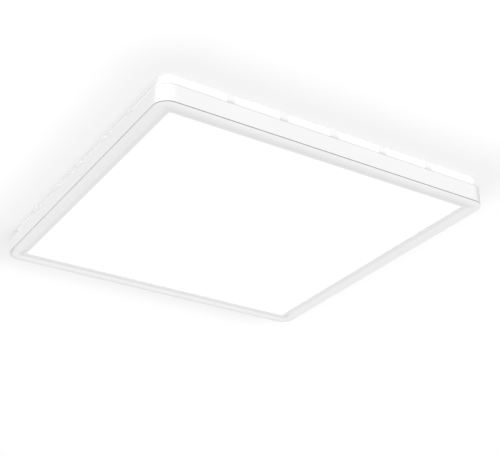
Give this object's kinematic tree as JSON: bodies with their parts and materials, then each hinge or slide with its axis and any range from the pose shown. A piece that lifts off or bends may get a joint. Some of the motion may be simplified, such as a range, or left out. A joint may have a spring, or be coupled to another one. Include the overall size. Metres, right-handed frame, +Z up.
{
  "type": "flush mount ceiling light",
  "caption": "Square flush ceiling light with a recessed opal panel, a glowing back-light ring above its white sides, an internal driver, a spring-catch ceiling plate and push-in terminals.",
  "frame": {"origin": "middle of the ceiling contact face, on the top of the ceiling plate", "axes": "+Z up into the ceiling, X along the slotted holes, Y along the driver; the light hangs towards -Z"},
  "size_m": [0.3, 0.3, 0.0255],
  "materials": {
    "white_plastic": "fine satin white moulded plastic",
    "cover_plastic": "plain matt white moulded plastic",
    "opal_acrylic": "opal acrylic sheet, satin, lit from its edges",
    "lens_acrylic": "frosted opal acrylic, lit from behind",
    "clear_acrylic": "clear acrylic light guide",
    "film": "thin clear prism film",
    "reflector_film": "white reflector film",
    "foam": "white closed-cell foam sheet",
    "tray_aluminium": "plain rolled aluminium sheet",
    "led_board": "white solder mask on a circuit board",
    "led_phosphor": "yellow phosphor of LED packages",
    "link_wire": "red wire insulation",
    "driver_plastic": "white flame-retardant plastic",
    "circuit_board": "green circuit board",
    "transformer_tape": "yellow winding tape",
    "capacitor_sleeve": "dark sleeve on aluminium capacitors",
    "chip_epoxy": "black epoxy",
    "connector_plastic": "white nylon",
    "terminal_plastic": "light grey polycarbonate",
    "button_orange": "orange release buttons",
    "contact_brass": "plain brass",
    "spring_steel": "bright spring steel",
    "screw_steel": "bright zinc-plated steel",
    "plate_steel": "zinc-plated sheet steel",
    "bush_rubber": "black rubber",
    "lead_brown": "brown wire insulation",
    "lead_blue": "blue wire insulation",
    "lead_red": "red wire insulation",
    "lead_black": "black wire insulation"
  },
  "bodies": {
    "ceiling_mount": {"ceiling_plate": "plate_steel", "cable_bush": "bush_rubber", "catch_rivets": "screw_steel", "catch_spring_1": "spring_steel", "catch_spring_2": "spring_steel", "catch_spring_3": "spring_steel", "catch_spring_4": "spring_steel"},
    "lamp": {"back_cover": "cover_plastic", "backing_foam": "foam", "backlight_lead_minus": "lead_black", "backlight_lead_plus": "lead_red", "backlight_leds": "led_phosphor", "backlight_lens": "lens_acrylic", "backlight_links": "link_wire", "backlight_ring": "white_plastic", "backlight_strip_1": "led_board", "backlight_strip_2": "led_board", "backlight_strip_3": "led_board", "backlight_strip_4": "led_board", "bezel": "white_plastic", "cable_clamp": "driver_plastic", "cable_clamp_screws": "screw_steel", "cover_screws": "screw_steel", "diffuser": "opal_acrylic", "driver_base": "driver_plastic", "driver_board": "circuit_board", "driver_capacitors": "capacitor_sleeve", "driver_chips": "chip_epoxy", "driver_connectors": "connector_plastic", "driver_lid": "driver_plastic", "driver_transformer": "transformer_tape", "ear_screws": "screw_steel", "edge_leds": "led_phosphor", "edge_links": "link_wire", "edge_strip_1": "led_board", "edge_strip_2": "led_board", "edge_strip_3": "led_board", "edge_strip_4": "led_board", "heat_tray": "tray_aluminium", "light_guide": "clear_acrylic", "live_clamp": "spring_steel", "live_lead": "lead_brown", "neutral_clamp": "spring_steel", "neutral_lead": "lead_blue", "panel_lead_minus": "lead_black", "panel_lead_plus": "lead_red", "prism_film": "film", "reflector_sheet": "reflector_film", "side_frame": "white_plastic", "terminal_block": "terminal_plastic", "terminal_busbars": "contact_brass", "terminal_housing": "driver_plastic", "top_cover": "cover_plastic", "top_cover_screws": "screw_steel"},
    "terminal_cover": {"terminal_cover": "driver_plastic"},
    "live_button": {"live_button": "button_orange"},
    "neutral_button": {"neutral_button": "button_orange"}
  },
  "joints": [
    {"name": "lamp_release", "type": "slide", "parent": "ceiling_mount", "child": "lamp", "axis": [0, 0, -1], "range_m": [0, 0.045], "deforming": ["catch_spring_1", "catch_spring_2", "catch_spring_3", "catch_spring_4"]},
    {"name": "terminal_cover_slide", "type": "slide", "parent": "lamp", "child": "terminal_cover", "axis": [1, 0, 0], "range_m": [0, 0.03]},
    {"name": "live_button_press", "type": "slide", "parent": "lamp", "child": "live_button", "axis": [0, 0, -1], "range_m": [0, 0.001], "stiffness_N_per_m": 1500, "deforming": ["live_clamp"]},
    {"name": "neutral_button_press", "type": "slide", "parent": "lamp", "child": "neutral_button", "axis": [0, 0, -1], "range_m": [0, 0.001], "stiffness_N_per_m": 1500, "deforming": ["neutral_clamp"]}
  ]
}
